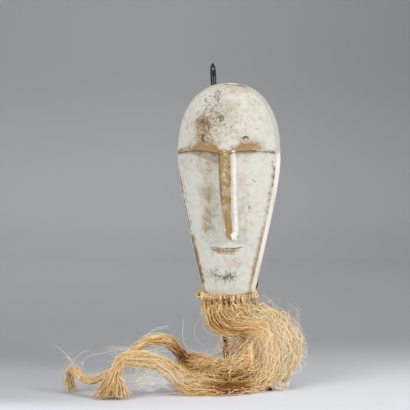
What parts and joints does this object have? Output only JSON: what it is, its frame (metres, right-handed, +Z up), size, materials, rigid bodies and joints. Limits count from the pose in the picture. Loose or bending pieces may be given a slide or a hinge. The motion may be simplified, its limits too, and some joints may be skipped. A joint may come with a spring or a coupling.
{
  "type": "carved face mask with fibre beard on a stand",
  "caption": "Long whitened wooden face mask, hollow behind, with a knotted fibre beard that sweeps along the floor, held up on a black metal stand.",
  "frame": {"origin": "middle of the foot plate's underside, on the surface the stand rests on", "axes": "+Z up along the height; the face looks along -Y; +X is the viewer's right, the side of the beard's bulge"},
  "size_m": [0.3196, 0.1963, 0.4535],
  "materials": {
    "whitened_wood": "matte",
    "black_metal": "gloss",
    "beard_fibre": "matte",
    "knot_fibre": "matte"
  },
  "bodies": {
    "root": {"mask": "whitened_wood", "stand_foot": "black_metal", "stand_frame": "black_metal", "heading_cord": "knot_fibre", "tuft_knot_01": "knot_fibre", "tuft_knot_02": "knot_fibre", "tuft_knot_03": "knot_fibre", "tuft_knot_04": "knot_fibre", "tuft_knot_05": "knot_fibre", "tuft_knot_06": "knot_fibre", "tuft_knot_07": "knot_fibre", "tuft_knot_08": "knot_fibre", "tuft_knot_09": "knot_fibre", "tuft_knot_10": "knot_fibre", "tuft_knot_11": "knot_fibre", "beard_fall": "beard_fibre", "beard_tail_front": "beard_fibre", "beard_tail_back": "beard_fibre", "beard_tail_end": "beard_fibre"}
  },
  "joints": []
}
